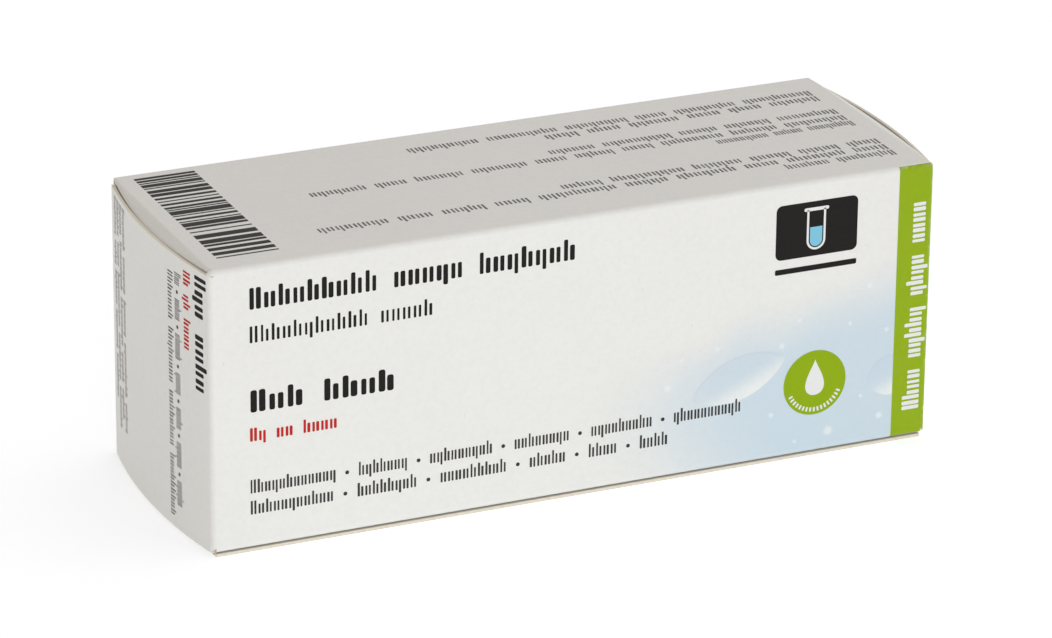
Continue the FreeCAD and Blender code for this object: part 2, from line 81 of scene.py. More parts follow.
# The board and its folds.
HALF_DEPTH = sleeve_high.y
HEIGHT = sleeve_high.z
BOARD = 0.45                  # thickness of the board
FOLD = 0.8                    # outer radius of a fold
FOLD_STEPS = 12               # facets round a fold
INK = 0.02                    # how far printed faces stand behind the CAD's, as room for the ink
RUN_IN = 0.2                  # flat stretch at the edge of a folding piece
SEAM_LEVEL = 0.5              # underside of the glued seam flap
SEAM_WIDTH = 10.0             # how far the seam flap reaches back from the front
SEAM_SETBACK = 0.12           # the bottom panel's cut edge behind the front

# The ends. A hinge's axis lies on its fold's outer arc, 45 degrees round it.
HINGE_REACH = FOLD * math.sin(math.radians(45))
FOLD_OUT = -joints["left_end_hinge"]["pos_m"][0] / MM - HINGE_REACH
HALF_LENGTH = FOLD_OUT + FOLD
HINGE_Y = FOLD - HALF_DEPTH
TUCK_Y = joints["left_tuck_crease"]["pos_m"][1] / MM - HINGE_REACH
BOW = -end_low.x - HALF_LENGTH
HALF_CHORD = (TUCK_Y - HINGE_Y) / 2
BOW_Y = (TUCK_Y + HINGE_Y) / 2
BOW_ANGLE = 2 * math.atan(BOW / HALF_CHORD)
BOW_RADIUS = FOLD + HALF_CHORD / math.sin(BOW_ANGLE)
BOW_OUT = FOLD_OUT - (BOW_RADIUS - FOLD) * math.cos(BOW_ANGLE)
TUCK_LEAN = math.radians(11)  # the tuck flap leans in from the back panel
TUCK_LENGTH = 9.0
TUCK_CORNER = 3.5             # radius of its free corners
DUST_CLEARANCE = 0.15         # between a dust flap and the end panel's inside
DUST_SLOPE = math.radians(25)     # fall of the first stretch of a dust flap, from level
DUST_TAPER = math.radians(24)     # lean of its front edge, from upright
DUST_NECK = 0.9               # straight stretch beside its crease
DUST_CORNER = 2.0             # radius of its free corners
DUST_BACK_MARGIN = 3.3        # its back edge from the back panel's outside

BAND_START = 48.6             # the green band runs from here round the right upright fold


# ---------------------------------------------------------------- shaders

MIX_COLOURS = (6, 7)          # a Mix node's two colour inputs
MIX_RESULT = 2                # its colour output


class Value:
    """A number worked out by a shader, which takes + - * / like any other."""

    def __init__(self, shader, socket):
        self.shader = shader
        self.socket = socket

    def math(self, operation, *others):
        node = self.shader.tree.nodes.new("ShaderNodeMath")
        node.operation = operation
        for slot, item in zip(node.inputs, (self, *others)):
            self.shader.feed(slot, item)
        return Value(self.shader, node.outputs[0])

    def __add__(self, other):
        return self.math("ADD", other)

    def __sub__(self, other):
        return self.math("SUBTRACT", other)

    def __mul__(self, other):
        return self.math("MULTIPLY", other)

    def __truediv__(self, other):
        return self.math("DIVIDE", other)

    def size(self):
        return self.math("ABSOLUTE")

    def most(self, other):
        return self.math("MAXIMUM", other)

    def root(self):
        return self.math("SQRT")

    def step(self, low, high):
        """0 at low, 1 at high, smooth between them. Low may be the larger one."""
        node = self.shader.tree.nodes.new("ShaderNodeMapRange")
        node.interpolation_type = "SMOOTHSTEP"
        self.shader.feed(node.inputs["Value"], self)
        node.inputs["From Min"].default_value = min(low, high)
        node.inputs["From Max"].default_value = max(low, high)
        node.inputs["To Min"].default_value = 0.0 if low < high else 1.0
        node.inputs["To Max"].default_value = 1.0 if low < high else 0.0
        return Value(self.shader, node.outputs["Result"])


class Shader:
    """A procedural material and the few kinds of node that it is made of."""

    def __init__(self, name, colour, roughness, **sockets):
        self.material = bpy.data.materials.new(name)
        self.material.use_nodes = True
        self.tree = self.material.node_tree
        self.surface = self.tree.nodes["Principled BSDF"]
        self.surface.inputs["Base Color"].default_value = (*colour, 1)
        self.surface.inputs["Roughness"].default_value = roughness
        for socket, value in sockets.items():
            self.surface.inputs[socket.replace("_", " ")].default_value = value
        self.place = self.tree.nodes.new("ShaderNodeTexCoord").outputs["Object"]
        split = self.tree.nodes.new("ShaderNodeSeparateXYZ")
        self.tree.links.new(self.place, split.inputs[0])
        self.x, self.y, self.z = (Value(self, output) * (1 / MM) for output in split.outputs)

    def feed(self, slot, item):
        if isinstance(item, Value):
            self.tree.links.new(item.socket, slot)
        else:
            slot.default_value = item

    def texture(self, kind, size, stretch=(1, 1, 1)):
        """A texture node whose features are about this many millimetres across."""
        scaled = self.tree.nodes.new("ShaderNodeVectorMath")
        scaled.operation = "MULTIPLY"
        self.tree.links.new(self.place, scaled.inputs[0])
        scaled.inputs[1].default_value = [1 / (MM * size * part) for part in stretch]
        node = self.tree.nodes.new(kind)
        node.inputs["Scale"].default_value = 1.0
        self.tree.links.new(scaled.outputs[0], node.inputs["Vector"])
        return node

    def noise(self, size, detail=2.0, stretch=(1, 1, 1)):
        """Noise from 0 to 1 whose grains are about this many millimetres across."""
        node = self.texture("ShaderNodeTexNoise", size, stretch)
        node.inputs["Detail"].default_value = detail
        return Value(self, node.outputs["Fac"])

    def cells(self, size):
        """Distance to the nearest of scattered points, in cells of this many millimetres."""
        node = self.texture("ShaderNodeTexVoronoi", size)
        return Value(self, node.outputs["Distance"])

    def mix(self, amount, first, second):
        """A colour between two colours, each plain or mixed before."""
        node = self.tree.nodes.new("ShaderNodeMix")
        node.data_type = "RGBA"
        self.feed(node.inputs["Factor"], amount)
        for number, colour in zip(MIX_COLOURS, (first, second)):
            slot = node.inputs[number]
            if isinstance(colour, tuple):
                slot.default_value = (*colour, 1)
            else:
                self.tree.links.new(colour, slot)
        return node.outputs[MIX_RESULT]

    def paint(self, colour):
        self.tree.links.new(colour, self.surface.inputs["Base Color"])

    def dull(self, roughness):
        self.feed(self.surface.inputs["Roughness"], roughness)

    def bump(self, height, depth):
        """Raise the surface by height, in units of depth millimetres."""
        node = self.tree.nodes.new("ShaderNodeBump")
        node.inputs["Distance"].default_value = depth * MM
        self.feed(node.inputs["Height"], height)
        self.tree.links.new(node.outputs[0], self.surface.inputs["Normal"])


WHITE = (0.835, 0.845, 0.815)
WARM_WHITE = (0.80, 0.80, 0.765)
WASH_BLUE = (0.585, 0.70, 0.775)
PRINT_GREEN = (0.275, 0.415, 0.0035)


# Mask for lightening the folds: partly a painted highlight along them, partly worn coating.
def fold_highlight_and_wear(shader):
    """1 on the carton's long and upright folds, 0 on its panels."""
    past_depth = shader.y.size().step(HALF_DEPTH - FOLD, HALF_DEPTH - 0.2)
    past_height = (shader.z - HEIGHT / 2).size().step(HEIGHT / 2 - FOLD, HEIGHT / 2 - 0.2)
    past_length = shader.x.size().step(HALF_LENGTH - FOLD, HALF_LENGTH - 0.2)
    return (past_depth * past_height).most(past_depth * past_length)


def coated(shader, colour, bare=1.0):
    """Finish a printed face: soft mottling, fine grain, folds lightened by painted highlight and
    wear, slight unevenness. bare says how much of the board shows through."""
    mottle = shader.noise(9.0, 3.0)
    grain = shader.noise(0.22, 2.0)
    fibre = shader.noise(0.75, 4.0)
    scuff = shader.noise(1.3, 1.0, stretch=(0.35, 1, 1)).step(0.77, 0.82)
    highlight_and_wear = fold_highlight_and_wear(shader) * shader.noise(1.1, 3.0).step(0.45, 0.75)
    colour = shader.mix((mottle - 0.35) * 0.06 * bare, colour, (0.70, 0.66, 0.60))
    colour = shader.mix(grain.step(0.3, 0.8) * 0.05 * bare, colour, (0.55, 0.54, 0.52))
    colour = shader.mix(fibre.step(0.35, 0.75) * 0.10 * bare, colour, (0.60, 0.59, 0.56))
    colour = shader.mix(scuff * 0.22 * bare, colour, (0.42, 0.41, 0.39))
    # Lighter folds: partly painted highlight, partly worn coating, broken up by noise.
    colour = shader.mix(highlight_and_wear * 0.3, colour, (0.88, 0.87, 0.84))
    shader.paint(colour)
    shader.dull(mottle * 0.12 + grain * 0.08 + 0.36)
    shader.bump(grain * 0.35 + fibre * 0.9 + shader.noise(3.5, 2.0) * 1.6 + highlight_and_wear * 0.8, 0.014)
    return shader.material


def make_board_face():
    shader = Shader("coated_board", WHITE, 0.45, Specular_IOR_Level=0.4)
    return coated(shader, shader.mix(shader.noise(30.0), WHITE, WARM_WHITE))


def make_green_face():
    shader = Shader("green_printed_board", PRINT_GREEN, 0.5, Specular_IOR_Level=0.12)
    green = shader.mix(shader.noise(0.5), PRINT_GREEN, (0.29, 0.43, 0.004))
    return coated(shader, green, bare=0.15)


# Water drops printed on the front: middle x and z, half width, half height, turn in degrees.
LARGE_DROPS = [(24.4, 13.6, 7.4, 3.3, 17), (48.0, 10.4, 3.6, 3.1, 10)]
SMALL_DROPS = [
    (13.4, 13.8, 0.7), (15.6, 17.8, 0.45), (21.0, 18.6, 0.4), (31.0, 17.4, 0.6), (38.6, 3.4, 0.95),
    (46.6, 4.4, 0.7), (47.4, 17.4, 0.5), (33.7, 20.9, 0.4), (44.5, 24.5, 0.6), (29.6, 7.2, 0.5),
    (41.6, 19.2, 0.4), (10.2, 9.4, 0.4), (33.4, 2.6, 0.4), (43.6, 7.9, 0.4),
]


def make_front_print():
    """White board with a pale blue wash in its lower right corner and water drops in the wash."""
    shader = Shader("front_print", WHITE, 0.45, Specular_IOR_Level=0.4)
    x, z = shader.x, shader.z
    cloud = (shader.noise(14.0, 2.0) - 0.5) * 5.0
    below_cloud = (x * 0.22 - z + cloud).step(-18.5, -7.5)
    from_left = (x - (z * -0.8 + 4.8).most(0.0) + cloud).step(0.0, 30.0)
    wash = below_cloud * from_left
    colour = shader.mix(shader.noise(30.0), WHITE, WARM_WHITE)
    colour = shader.mix(wash, colour, WASH_BLUE)
    for centre_x, centre_z, half_width, half_height, turn in LARGE_DROPS:
        cosine, sine = math.cos(math.radians(turn)), math.sin(math.radians(turn))
        along = ((x - centre_x) * cosine + (z - centre_z) * sine) / half_width
        across = ((z - centre_z) * cosine - (x - centre_x) * sine) / half_height
        lens = across / (along * along * -0.35 + 1.0)
        radius = (along * along + lens * lens).root()
        inside = radius.step(1.03, 0.95)
        shade = inside * (across + along * -0.25).step(-0.5, 0.9)
        glow = inside * (across + along * -0.3).step(0.1, -0.95)
        rim = radius.step(0.86, 0.99) * inside * across.step(-0.3, 0.6)
        colour = shader.mix(shade * 0.30, colour, (0.50, 0.62, 0.74))
        colour = shader.mix(glow * 0.85, colour, (0.86, 0.88, 0.85))
        colour = shader.mix(rim * 0.35, colour, (0.50, 0.57, 0.63))
    for centre_x, centre_z, radius in SMALL_DROPS:
        away = ((x - centre_x) * (x - centre_x) + (z - centre_z) * (z - centre_z)).root()
        colour = shader.mix(away.step(radius, radius * 0.35) * 0.6, colour, (0.85, 0.88, 0.88))
    return coated(shader, colour)


def make_board_inside():
    """Unprinted inside: pale grey-cream recycled fibre."""
    shader = Shader("raw_board_inside", (0.62, 0.59, 0.52), 0.85)
    fibre = shader.noise(0.5, 4.0, stretch=(3, 1, 1))
    speck = shader.noise(0.35, 1.0).step(0.68, 0.78)
    colour = shader.mix(fibre, (0.66, 0.63, 0.56), (0.54, 0.51, 0.44))
    shader.paint(shader.mix(speck * 0.4, colour, (0.30, 0.27, 0.22)))
    shader.bump(fibre, 0.03)
    return shader.material


def make_board_edge():
    """Cut edge: layered pale tan pulp."""
    shader = Shader("cut_board_edge", (0.68, 0.61, 0.48), 0.9)
    layers = shader.noise(0.12, 3.0, stretch=(6, 6, 1))
    fibre = shader.noise(0.3, 3.0)
    colour = shader.mix(layers, (0.80, 0.74, 0.62), (0.66, 0.59, 0.46))
    shader.paint(shader.mix(fibre * 0.5, colour, (0.82, 0.79, 0.70)))
    shader.bump(layers + fibre, 0.03)
    return shader.material


def make_ink(name, colour, patchy=0.012, roughness=0.55):
    """Offset ink: nearly even, with the board's grain showing through."""
    shader = Shader(name, colour, roughness, Specular_IOR_Level=0.12)
    thin = tuple(part + (0.8 - part) * patchy for part in colour)
    grain = shader.noise(0.18, 2.0)
    shader.paint(shader.mix(grain.step(0.45, 0.8), colour, thin))
    shader.dull(grain * 0.15 + roughness)
    shader.bump(grain, 0.004)
    return shader.material


def make_glue():
    shader = Shader("glue", (0.80, 0.74, 0.56), 0.35, Transmission_Weight=0.15)
    bubbles = shader.cells(0.6).step(0.1, 0.25)
    shader.paint(shader.mix(bubbles, (0.88, 0.84, 0.70), (0.78, 0.72, 0.54)))
    shader.bump(bubbles, 0.01)
    return shader.material


def make_foil():
    """Rolled aluminium, knurled by the sealing tool and slightly creased."""
    shader = Shader("foil", (0.80, 0.81, 0.82), 0.32, Metallic=1.0)
    per_mm = 2 * math.pi / 0.7
    knurl = (shader.x * per_mm).math("SINE") * (shader.y * per_mm).math("SINE")
    rolled = shader.noise(0.4, 3.0, stretch=(14, 1, 1))
    crease = shader.noise(5.0, 4.0)
    shader.paint(shader.mix(crease, (0.84, 0.85, 0.86), (0.70, 0.71, 0.73)))
    shader.dull(rolled * 0.2 + crease * 0.15 + 0.16)
    shader.bump(knurl * 0.5 + crease * 3.0 + rolled * 0.2, 0.03)
    return shader.material


def make_tablet():
    """Pressed white powder with a few darker specks."""
    shader = Shader("tablet", (0.88, 0.87, 0.83), 0.9)
    grain = shader.noise(0.15, 3.0)
    speck = shader.cells(0.9).step(0.12, 0.05)
    colour = shader.mix(grain, (0.90, 0.89, 0.86), (0.78, 0.77, 0.72))
    shader.paint(shader.mix(speck * 0.6, colour, (0.45, 0.50, 0.55)))
    shader.bump(grain, 0.05)
    return shader.material


# ---------------------------------------------------------------- meshes

def new_piece(name, points, faces, materials, picks=None, smooth_below=35):
    """An object from points in millimetres; picks gives each face's material."""
    mesh = bpy.data.meshes.new(name)
    mesh.from_pydata([tuple(part * MM for part in point) for point in points], [], faces)
    for material in materials:
        mesh.materials.append(material)
    if picks:
        mesh.polygons.foreach_set("material_index", picks)
    mesh.validate()
    turn_outwards(mesh)
    mesh.shade_smooth()
    mesh.set_sharp_from_angle(angle=math.radians(smooth_below))
    piece = bpy.data.objects.new(name, mesh)
    bpy.context.scene.collection.objects.link(piece)
    return piece


def turn_outwards(mesh):
    """Turn every face of a closed mesh outwards."""
    work = bmesh.new()
    work.from_mesh(mesh)
    bmesh.ops.recalc_face_normals(work, faces=work.faces)
    work.to_mesh(mesh)
    work.free()


BOARD_FACE, BOARD_INSIDE, BOARD_EDGE, FRONT_PRINT, GREEN_FACE = range(5)


def board_piece(name, outer, inner, materials, present=None, pick=None):
    """A sheet of board over a grid: outer[i][j] and inner[i][j] are its two faces. present(i, j)
    says which cells exist and pick(i, j) which material their outer face has."""
    rows, columns = len(outer) - 1, len(outer[0]) - 1
    present = present or (lambda i, j: True)
    pick = pick or (lambda i, j: BOARD_FACE)
    points, numbers, faces, picks = [], {}, [], []

    def number(face, i, j):
        if (face, i, j) not in numbers:
            numbers[face, i, j] = len(points)
            points.append((outer, inner)[face][i][j])
        return numbers[face, i, j]

    def filled(i, j):
        return 0 <= i < rows and 0 <= j < columns and present(i, j)

    for i in range(rows):
        for j in range(columns):
            if not filled(i, j):
                continue
            ring = [(i, j), (i + 1, j), (i + 1, j + 1), (i, j + 1)]
            faces.append([number(0, *spot) for spot in ring])
            picks.append(pick(i, j))
            faces.append([number(1, *spot) for spot in reversed(ring)])
            picks.append(BOARD_INSIDE)
            beyond = [(i, j - 1), (i + 1, j), (i, j + 1), (i - 1, j)]
            for side, cell in enumerate(beyond):
                if filled(*cell):
                    continue
                first, last = ring[side], ring[(side + 1) % 4]
                edge = [(0, *first), (1, *first), (1, *last), (0, *last)]
                faces.append([number(*spot) for spot in edge])
                picks.append(BOARD_EDGE)
    return new_piece(name, points, faces, materials, picks)


def arc(centre, outer_radius, inner_radius, start, finish, steps):
    """Pairs of outer and inner points along an arc; angles in radians."""
    pairs = []
    for step in range(steps + 1):
        angle = start + (finish - start) * step / steps
        direction = Vector((math.cos(angle), math.sin(angle)))
        pairs.append(tuple(Vector(centre) + direction * radius
                           for radius in (outer_radius, inner_radius)))
    return pairs


# ---------------------------------------------------------------- carton board

def sleeve_section():
    """The board's section in (y, z), from the bottom panel's cut edge round to the seam flap's:
    pairs of outer and inner points, the name of the stretch after each pair, and each pair's
    fold centre."""
    quarter = math.pi / 2
    back_fold, front_fold, top_fold = HALF_DEPTH - FOLD, FOLD - HALF_DEPTH, HEIGHT - FOLD
    bottom_edge = SEAM_SETBACK - HALF_DEPTH
    seam_edge = SEAM_WIDTH - HALF_DEPTH
    pairs = [(Vector((bottom_edge, INK)), Vector((bottom_edge, BOARD)))]
    names = ["bottom"]
    centres = [pairs[0][1]]
    folds = [
        ((back_fold, FOLD), -quarter, "back"),
        ((back_fold, top_fold), 0, "top"),
        ((front_fold, top_fold), quarter, "front"),
        ((front_fold, SEAM_LEVEL + FOLD), 2 * quarter, "seam"),
    ]
    for centre, start, panel in folds:
        pairs += arc(centre, FOLD - INK, FOLD - BOARD, start, start + quarter, FOLD_STEPS)
        names += [f"fold before {panel}"] * FOLD_STEPS + [panel]
        centres += [Vector(centre)] * (FOLD_STEPS + 1)
    pairs.append((Vector((seam_edge, SEAM_LEVEL + INK)), Vector((seam_edge, SEAM_LEVEL + BOARD))))
    centres.append(pairs[-1][1])
    return pairs, names, centres


def make_sleeve(materials):
    """The sleeve's section carried along X. Past the panels' cut ends its front folds close in
    soft round corners, where they clear the end panels."""
    pairs, names, centres = sleeve_section()
    turns = [math.radians(angle) for angle in (75, 60, 45, 30, 15)]   # round a soft corner
    left_stations = [(-FOLD_OUT, turn) for turn in turns]
    left_stations += [(-FOLD_OUT, 0), (RUN_IN - FOLD_OUT, 0)]
    stations = left_stations + [(0, 0), (BAND_START, 0)]
    stations += [(-x, turn) for x, turn in reversed(left_stations)]
    last = len(stations) - 2

    def placed(face, row):
        points = []
        for x, turn in stations:
            arm = pairs[row][face] - centres[row]
            spot = centres[row] + arm * math.cos(turn)
            points.append((x + math.copysign(arm.length * math.sin(turn), x), spot.x, spot.y))
        return points

    outer = [placed(0, row) for row in range(len(pairs))]
    inner = [placed(1, row) for row in range(len(pairs))]

    def clears_ends(i):
        levels = [pairs[row][0].y for row in (i, i + 1)]
        return min(levels) > end_high.z or max(levels) < end_low.z

    def present(i, j):
        beside_end = min(j, last - j)
        if beside_end < len(turns):
            return names[i] in ("fold before front", "fold before seam") and clears_ends(i)
        if beside_end == len(turns):
            return names[i] != "front"
        return True

    def rows_of(stretch):
        return [i for i, name in enumerate(names) if name == stretch]

    # The front's print runs from part way round the fold above to half way round the one below.
    faced = rows_of("fold before front")[FOLD_STEPS * 2 // 5:] + rows_of("front")
    faced += rows_of("fold before seam")[:FOLD_STEPS // 2]

    def pick(i, j):
        if i in faced:
            return GREEN_FACE if stations[j][0] >= BAND_START else FRONT_PRINT
        return BOARD_FACE

    sleeve = board_piece("sleeve_board", outer, inner, materials, present, pick)
    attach(sleeve, "carton")
    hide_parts("carton_sleeve")


def bow_arc(start, finish, steps):
    """The bowed end panel between two angles from the outward direction, in (out, y)."""
    return arc((BOW_OUT, BOW_Y), BOW_RADIUS - INK, BOW_RADIUS - BOARD, start, finish, steps)


def upright_sheet(name, side, pairs, levels, materials, pick=None):
    """A sheet that stands on a plan of (out, y) pairs, each with its own low and high level."""
    def stood(face):
        return [[(side * pair[face].x, pair[face].y, z) for z in level]
                for pair, level in zip(pairs, levels)]

    return board_piece(name, stood(0), stood(1), materials, pick=pick)


def fold_share(index):
    """How far round its fold a row of a folding piece is, from 0 to 1, easing in and out."""
    share = min(max((index - 1) / FOLD_STEPS, 0), 1)
    return share * share * (3 - 2 * share)


def make_end_panel(side_name, materials):
    """From the front panel round the hinge fold and along the bow, up to the tuck flap's fold."""
    side = SIDES[side_name]
    run_turn = RUN_IN / BOW_RADIUS
    face = -HALF_DEPTH
    fold = arc((FOLD_OUT, HINGE_Y), FOLD - INK, FOLD - BOARD, -math.pi / 2, -BOW_ANGLE, FOLD_STEPS)
    start = (Vector((FOLD_OUT - RUN_IN, face + INK)), Vector((FOLD_OUT - RUN_IN, face + BOARD)))
    bow_steps = 40
    bow = bow_arc(-BOW_ANGLE, BOW_ANGLE - run_turn, bow_steps)[1:]
    pairs = [start] + fold + bow
    front_low, front_high = SEAM_LEVEL + FOLD, HEIGHT - FOLD
    levels = []
    for index in range(len(pairs)):
        low = front_low + (end_low.z - front_low) * fold_share(index)
        high = front_high + (end_high.z - front_high) * fold_share(index)
        levels.append((low, high))
    banded = side == RIGHT
    pick = (lambda i, j: GREEN_FACE if banded and i <= FOLD_STEPS else BOARD_FACE)
    panel = upright_sheet(f"{side_name}_end_board", side, pairs, levels, materials, pick)

    # The fold turns from the front panel to the bow along the diagonal of its corner.
    diagonal = Vector((1, 1)).normalized()
    last = min(point.dot(diagonal) for point in bow[0])
    corner = Vector((FOLD_OUT, HINGE_Y))
    high_point = corner + diagonal * (last - corner.dot(diagonal))
    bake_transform(panel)
    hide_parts(f"{side_name}_end_panel")


def make_tuck_flap(side_name, materials):
    """From the bow round the second fold, then the flat tongue with its rounded corners."""
    side = SIDES[side_name]
    run_turn = RUN_IN / BOW_RADIUS
    flat = math.pi / 2 + TUCK_LEAN
    bow = bow_arc(BOW_ANGLE - run_turn, BOW_ANGLE, 1)
    fold = arc((FOLD_OUT, TUCK_Y), FOLD - INK, FOLD - BOARD, BOW_ANGLE, flat, FOLD_STEPS)[1:]
    ahead = Vector((-math.cos(TUCK_LEAN), -math.sin(TUCK_LEAN)))
    pairs = bow + fold
    levels = []
    for index in range(len(pairs)):
        low = end_low.z + (tuck_low.z - end_low.z) * fold_share(index)
        levels.append((low, HEIGHT - low))
    corner_steps = 10
    turns = [math.pi / 2 * step / corner_steps for step in range(corner_steps + 1)]
    reach = [(RUN_IN, 0.0)]       # distance from the fold, and the cut from its top and bottom
    reach += [(TUCK_LENGTH - TUCK_CORNER * (1 - math.sin(turn)),
               TUCK_CORNER * (1 - math.cos(turn))) for turn in turns]
    for distance, cut in reach:
        pairs.append(tuple(point + ahead * distance for point in fold[-1]))
        levels.append((tuck_low.z + cut, HEIGHT - tuck_low.z - cut))
    flap = upright_sheet(f"{side_name}_tuck_board", side, pairs, levels, materials)
    first = max(point.y for point in bow[1])
    last = min(point.y for point in fold[-1])
    pivot = side * FOLD_OUT * MM
    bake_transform(flap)
    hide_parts(f"{side_name}_tuck_flap")


def dust_reach(drop):
    """How far out a dust flap's slope has run when it has fallen this far below its crease."""
    round_drop = FOLD * (1 - math.cos(DUST_SLOPE))
    round_reach = FOLD * math.sin(DUST_SLOPE)
    if drop < round_drop:
        return math.sqrt(FOLD ** 2 - (FOLD - drop) ** 2)
    return round_reach + (drop - round_drop) / math.tan(DUST_SLOPE)


def dust_surface(y, drop, blend_width=0.5):
    """Outward place of a dust flap's outer face: its slope and its bow, joined by a soft bend."""
    slope = FOLD_OUT + dust_reach(drop)
    radius = BOW_RADIUS - BOARD - DUST_CLEARANCE - INK
    bow = BOW_OUT + math.sqrt(radius ** 2 - (y - BOW_Y) ** 2)
    share = min(max(0.5 + (bow - slope) / blend_width / 2, 0), 1)
    return bow + (slope - bow) * share - blend_width * share * (1 - share)


def dust_outline(drop, height):
    """The flap's lowest and highest y at a level: neck, taper and rounded free corners."""
    near, far = dust_low.y, dust_high.y
    below_neck = max(drop - DUST_NECK, 0)
    tip = near + (height - DUST_NECK) * math.tan(DUST_TAPER)
    straight = HALF_DEPTH - DUST_BACK_MARGIN
    low = near + below_neck * math.tan(DUST_TAPER)
    high = max(far - below_neck, straight)
    above_end = height - drop
    if above_end < DUST_CORNER:
        swing = math.sqrt(DUST_CORNER ** 2 - (DUST_CORNER - above_end) ** 2)
        high = straight - DUST_CORNER + swing
        half = (math.pi / 2 - DUST_TAPER) / 2
        if above_end < DUST_CORNER * (1 - math.sin(DUST_TAPER)):
            low = tip + DUST_CORNER / math.tan(half) - swing
    return low, high


def make_dust_flap(side_name, level, materials):
    """A flap that hangs from the top panel, or stands on the bottom one, behind the end panel.
    level turns the top flap's z into this flap's z."""
    side = SIDES[side_name]
    height = dust_high.z - dust_low.z
    round_steps, slope_steps, slope_pace = 4, 23, 0.045
    wall_steps, corner_steps, columns = 8, 8, 44
    drops = [FOLD * (1 - math.cos(DUST_SLOPE * step / round_steps))
             for step in range(round_steps + 1)]
    drops += [drops[-1] + slope_pace * step for step in range(1, slope_steps + 1)]
    wall = height - DUST_CORNER - drops[-1]
    drops += [drops[-1] + wall * step / wall_steps for step in range(1, wall_steps + 1)]
    for step in range(1, corner_steps + 1):
        turn = math.pi / 2 * step / corner_steps
        drops.append(height - DUST_CORNER * (1 - math.sin(turn)))
    nudge = 0.01
    outer, inner = [], []
    for drop in drops:
        low, high = dust_outline(drop, height)
        outer_row, inner_row = [], []
        for column in range(columns + 1):
            y = low + (high - low) * column / columns
            out = dust_surface(y, drop)
            along_y = (dust_surface(y + nudge, drop) - dust_surface(y - nudge, drop)) / (2 * nudge)
            above = max(drop - nudge, 0)
            along_z = dust_surface(y, above) - dust_surface(y, drop + nudge)
            along_z /= drop + nudge - above
            normal = Vector((1, -along_y, -along_z)).normalized()
            if drop == 0:
                normal = Vector((0, 0, 1))
            place = Vector((out, y, HEIGHT - INK - drop))
            back = place - normal * (BOARD - INK)
            outer_row.append((side * place.x, y, level(place.z)))
            inner_row.append((side * back.x, back.y, level(back.z)))
        outer.append(outer_row)
        inner.append(inner_row)
    place_name = "top" if level(HEIGHT) > HEIGHT / 2 else "bottom"
    body = f"{side_name}_{place_name}_dust"
    flap = board_piece(f"{body}_board", outer, inner, materials)
    down = math.copysign(1, level(0) - level(HEIGHT))
    crease = Vector((side * FOLD_OUT, 0, level(HEIGHT)))
    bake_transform(flap)
    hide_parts(f"{body}_flap")


# ---------------------------------------------------------------- print

def on_front(u, v, height):
    """A spot of the front panel: u along X, v up."""
    return (u, INK - HALF_DEPTH - height, v)


def on_top(u, v, height):
    """A spot of the top panel: u along X, v along Y."""
    return (u, v, HEIGHT - INK + height)


def on_left_end(u, v, height):
    """A spot of the left end panel: u towards the front, v up."""
    radius = BOW_RADIUS - INK + height
    turn = math.asin((-u - BOW_Y) / BOW_RADIUS)
    return (-BOW_OUT - radius * math.cos(turn), BOW_Y + radius * math.sin(turn), v)


def printed(name, place, outlines, ink, body):
    """One film of ink: each outline becomes a thin closed slab on the board."""
    sunk, raised = -0.004, 0.018
    points, faces = [], []
    for outline in outlines:
        first, count = len(points), len(outline)
        for height in (sunk, raised):
            points += [place(u, v, height) for u, v in outline]
        faces.append([first + step for step in range(count)])
        faces.append([first + count + step for step in reversed(range(count))])
        for step in range(count):
            after = (step + 1) % count
            faces.append([first + step, first + after, first + count + after,
                          first + count + step])
    film = new_piece(name, points, faces, [ink])
    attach(film, body)


def arc_points(x, y, radius, start, finish, steps):
    """Points along an arc, angles in degrees."""
    angles = [math.radians(start + (finish - start) * step / steps) for step in range(steps + 1)]
    return [(x + radius * math.cos(angle), y + radius * math.sin(angle)) for angle in angles]


def rounded(left, right, low, high, radius, steps=3):
    """A rectangle with rounded corners."""
    centres = [(right - radius, high - radius), (left + radius, high - radius),
               (left + radius, low + radius), (right - radius, low + radius)]
    outline = []
    for corner, (x, y) in enumerate(centres):
        outline += arc_points(x, y, radius, 90 * corner, 90 * (corner + 1), steps)
    return outline


def block_type(start, turn, length, height, seed, words=None, bullets=False, ink=0.6):
    """Stand-in for a line of type: words of plain upright bars, with no letters in them. start is
    the line's first corner, turn its reading direction in degrees and height a capital's. words
    gives how many letters long each word is; without it the lengths are drawn. A letter is two
    bars, and ink is the share of its width that they cover."""
    chance = random.Random(seed)
    space = 3 if bullets else 1
    usual_width = 0.66
    if words is None:
        words, used = [], 0
        while used < length / (height * usual_width):
            words.append(chance.randint(4, 9))
            used += words[-1] + space
    pitch = length / (sum(words) + space * (len(words) - 1))
    cosine, sine = math.cos(math.radians(turn)), math.sin(math.radians(turn))
    short, below, dot, dot_level = (share * height for share in (0.72, -0.22, 0.14, 0.38))
    first_bar, bar_pitch = 0.27, 0.46
    tall_share, deep_share, unevenness = 0.3, 0.12, 0.15

    def turned(outline):
        return [(start[0] + u * cosine - v * sine, start[1] + u * sine + v * cosine)
                for u, v in outline]

    outlines, place = [], 0.0
    for index, count in enumerate(words):
        for letter in range(count):
            kind = chance.random()
            for bar in range(2):
                low, high = 0.0, short
                if letter == 0 and index == 0 or bar == 0 and kind < tall_share:
                    high = height
                elif bar == 1 and kind > 1 - deep_share:
                    low = below
                width = pitch / 2 * ink * chance.uniform(1 - unevenness, 1 + unevenness)
                middle = place + pitch * (first_bar + bar_pitch * bar)
                shape = rounded(middle - width / 2, middle + width / 2, low, high, width * 0.3, 2)
                outlines.append(turned(shape))
            place += pitch
        if bullets and index < len(words) - 1:
            middle = place + space * pitch / 2
            shape = rounded(middle - dot, middle + dot, dot_level - dot, dot_level + dot,
                            dot * 0.9, 3)
            outlines.append(turned(shape))
        place += space * pitch
    return outlines


def circle(x, y, radius, steps=64):
    return arc_points(x, y, radius, 0, 360, steps)[:-1]


